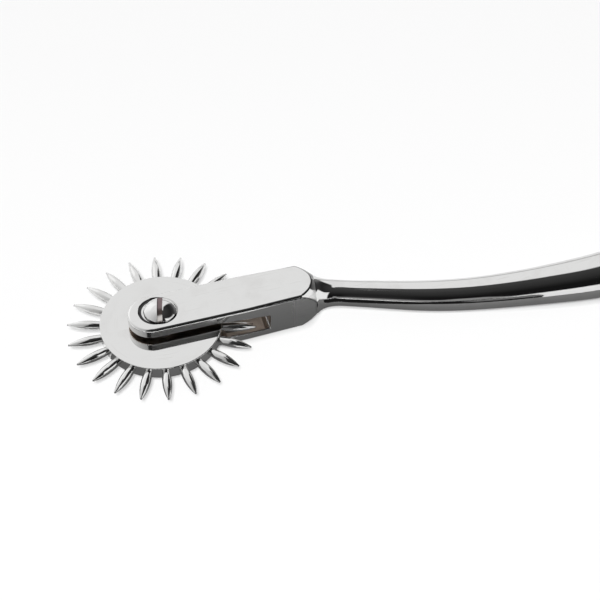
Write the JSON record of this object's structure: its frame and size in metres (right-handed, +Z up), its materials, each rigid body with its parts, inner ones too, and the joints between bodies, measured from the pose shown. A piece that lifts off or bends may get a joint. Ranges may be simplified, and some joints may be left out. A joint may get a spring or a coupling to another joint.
{
  "type": "neurological pinwheel",
  "caption": "Pinwheel for testing skin sensation: a needled wheel that spins freely in a slotted head on a bent, round steel handle.",
  "frame": {"origin": "where the wheel's axis meets the plane of the head's underside, on which the tool lies", "axes": "+X from the wheel along the head to the handle, +Z up along the wheel's axis"},
  "size_m": [0.1931, 0.0338, 0.01],
  "materials": {
    "head_steel": "polished",
    "handle_steel": "polished",
    "screw_steel": "polished",
    "washer_steel": "turned",
    "disc_steel": "polished",
    "needle_steel": "polished"
  },
  "bodies": {
    "grip": {"fork_head": "head_steel", "handle": "handle_steel", "pivot_screw": "screw_steel", "upper_spacer_washer": "washer_steel", "lower_spacer_washer": "washer_steel"},
    "wheel": {"wheel_disc": "disc_steel", "needle_01": "needle_steel", "needle_02": "needle_steel", "needle_03": "needle_steel", "needle_04": "needle_steel", "needle_05": "needle_steel", "needle_06": "needle_steel", "needle_07": "needle_steel", "needle_08": "needle_steel", "needle_09": "needle_steel", "needle_10": "needle_steel", "needle_11": "needle_steel", "needle_12": "needle_steel", "needle_13": "needle_steel", "needle_14": "needle_steel", "needle_15": "needle_steel", "needle_16": "needle_steel", "needle_17": "needle_steel", "needle_18": "needle_steel", "needle_19": "needle_steel", "needle_20": "needle_steel", "needle_21": "needle_steel", "needle_22": "needle_steel"}
  },
  "joints": [
    {"name": "wheel_spin", "type": "hinge", "parent": "grip", "child": "wheel", "pos_m": [0, 0, 0.00415], "axis": [0, 0, 1], "continuous": true}
  ]
}
